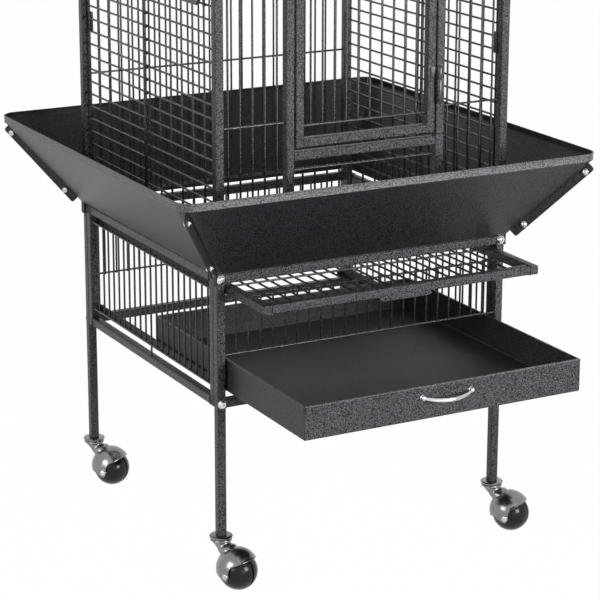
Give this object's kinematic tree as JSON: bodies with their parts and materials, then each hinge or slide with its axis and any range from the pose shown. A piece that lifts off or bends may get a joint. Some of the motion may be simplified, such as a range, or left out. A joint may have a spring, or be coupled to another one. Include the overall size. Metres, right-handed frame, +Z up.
{
  "type": "bird cage on stand",
  "caption": "Square wire bird cage on a rolling stand, with a flared seed skirt, a slide-out grille and debris tray, a front door, feeder doors and ball casters.",
  "frame": {"origin": "on the floor, under the middle of the whole part's bounding box with tray and grille as they stand at rest", "axes": "+Z up; -Y is the front, the side of the door, the tray and the handle; +X is to the right of someone who faces the door"},
  "size_m": [0.6494, 0.7912, 1.4208],
  "materials": {
    "hammertone": "dark hammertone enamel",
    "wire_paint": "dark hammertone enamel on wire",
    "hinge_paint": "grey painted steel",
    "chrome": "polished",
    "caster_metal": "polished nickel plate",
    "caster_ball": "glossy",
    "stainless": "spun",
    "perch_wood": "bare dowel",
    "zinc": "zinc plated"
  },
  "bodies": {
    "stand_and_cage": {"cage_front_frame": "hammertone", "cage_rear_frame": "hammertone", "caster_sockets": "caster_metal", "cup_holders": "wire_paint", "feed_cups": "stainless", "front_guard": "wire_paint", "front_wires": "wire_paint", "grille_runners": "hammertone", "hinge_jamb_leaves": "hinge_paint", "hinge_pins": "zinc", "inside_perches": "perch_wood", "latch_keeper": "hinge_paint", "left_panel": "wire_paint", "panel_clips": "hammertone", "perch_fasteners": "zinc", "play_stand_hoops": "wire_paint", "play_stand_perch": "perch_wood", "post_couplers": "zinc", "rear_guard": "wire_paint", "rear_wires": "wire_paint", "right_panel": "wire_paint", "roof_rails": "hammertone", "roof_wires": "wire_paint", "side_frame_wires": "wire_paint", "skirt_bolts": "chrome", "skirt_front": "hammertone", "skirt_left": "hammertone", "skirt_rear": "hammertone", "skirt_right": "hammertone", "stand_bolts": "chrome", "stand_front_frame": "hammertone", "stand_left_frame": "hammertone", "stand_rear_frame": "hammertone", "stand_right_frame": "hammertone", "tray_runners": "hammertone"},
    "front_door": {"door_frame": "hammertone", "door_wires": "wire_paint", "hinge_door_leaves": "hinge_paint", "latch_screw": "chrome"},
    "latch": {"door_latch": "hinge_paint"},
    "feeder_left": {"feeder_door_left": "wire_paint"},
    "feeder_right": {"feeder_door_right": "wire_paint"},
    "tray": {"debris_tray": "hammertone", "tray_handle": "chrome", "handle_screws": "chrome"},
    "grille": {"grille_frame": "hammertone", "grille_wires": "wire_paint", "grille_pull": "hammertone"},
    "swivel_front_left": {"caster_hood_front_left": "caster_metal", "caster_axle_front_left": "caster_metal"},
    "ball_front_left": {"caster_ball_front_left": "caster_ball"},
    "swivel_front_right": {"caster_hood_front_right": "caster_metal", "caster_axle_front_right": "caster_metal"},
    "ball_front_right": {"caster_ball_front_right": "caster_ball"},
    "swivel_rear_left": {"caster_hood_rear_left": "caster_metal", "caster_axle_rear_left": "caster_metal"},
    "ball_rear_left": {"caster_ball_rear_left": "caster_ball"},
    "swivel_rear_right": {"caster_hood_rear_right": "caster_metal", "caster_axle_rear_right": "caster_metal"},
    "ball_rear_right": {"caster_ball_rear_right": "caster_ball"}
  },
  "joints": [
    {"name": "tray_slide", "type": "slide", "parent": "stand_and_cage", "child": "tray", "axis": [0, -1, 0], "range_m": [-0.209, 0.17]},
    {"name": "grille_slide", "type": "slide", "parent": "stand_and_cage", "child": "grille", "axis": [0, -1, 0], "range_m": [-0.1036, 0.17]},
    {"name": "front_door_hinge", "type": "hinge", "parent": "stand_and_cage", "child": "front_door", "pos_m": [0.1125, -0.1639, 0.8568], "axis": [0, 0, 1], "range_deg": [0, 175]},
    {"name": "latch_turn", "type": "hinge", "parent": "front_door", "child": "latch", "pos_m": [-0.10315, -0.1605, 0.8568], "axis": [0, -1, 0], "range_deg": [0, 90]},
    {"name": "feeder_left_hinge", "type": "hinge", "parent": "stand_and_cage", "child": "feeder_left", "pos_m": [-0.22654, -0.11927, 0.8768], "axis": [0, 0, 1], "range_deg": [0, 110]},
    {"name": "feeder_right_hinge", "type": "hinge", "parent": "stand_and_cage", "child": "feeder_right", "pos_m": [0.22654, -0.11927, 0.8768], "axis": [0, 0, -1], "range_deg": [0, 110]},
    {"name": "swivel_front_left_turn", "type": "hinge", "parent": "stand_and_cage", "child": "swivel_front_left", "pos_m": [-0.22365, -0.15275, 0.063], "axis": [0, 0, 1], "continuous": true},
    {"name": "ball_front_left_roll", "type": "hinge", "parent": "swivel_front_left", "child": "ball_front_left", "pos_m": [-0.21104, -0.18107, 0.027], "axis": [0.9135, 0.4067, 0], "continuous": true},
    {"name": "swivel_front_right_turn", "type": "hinge", "parent": "stand_and_cage", "child": "swivel_front_right", "pos_m": [0.22365, -0.15275, 0.063], "axis": [0, 0, 1], "continuous": true},
    {"name": "ball_front_right_roll", "type": "hinge", "parent": "swivel_front_right", "child": "ball_front_right", "pos_m": [0.24274, -0.17718, 0.027], "axis": [0.788, 0.6157, 0], "continuous": true},
    {"name": "swivel_rear_left_turn", "type": "hinge", "parent": "stand_and_cage", "child": "swivel_rear_left", "pos_m": [-0.22365, 0.29455, 0.063], "axis": [0, 0, 1], "continuous": true},
    {"name": "ball_rear_left_roll", "type": "hinge", "parent": "swivel_rear_left", "child": "ball_rear_left", "pos_m": [-0.20499, 0.26979, 0.027], "axis": [0.7986, 0.6018, 0], "continuous": true},
    {"name": "swivel_rear_right_turn", "type": "hinge", "parent": "stand_and_cage", "child": "swivel_rear_right", "pos_m": [0.22365, 0.29455, 0.063], "axis": [0, 0, 1], "continuous": true},
    {"name": "ball_rear_right_roll", "type": "hinge", "parent": "swivel_rear_right", "child": "ball_rear_right", "pos_m": [0.2382, 0.32192, 0.027], "axis": [-0.8829, 0.4695, 0], "continuous": true}
  ]
}
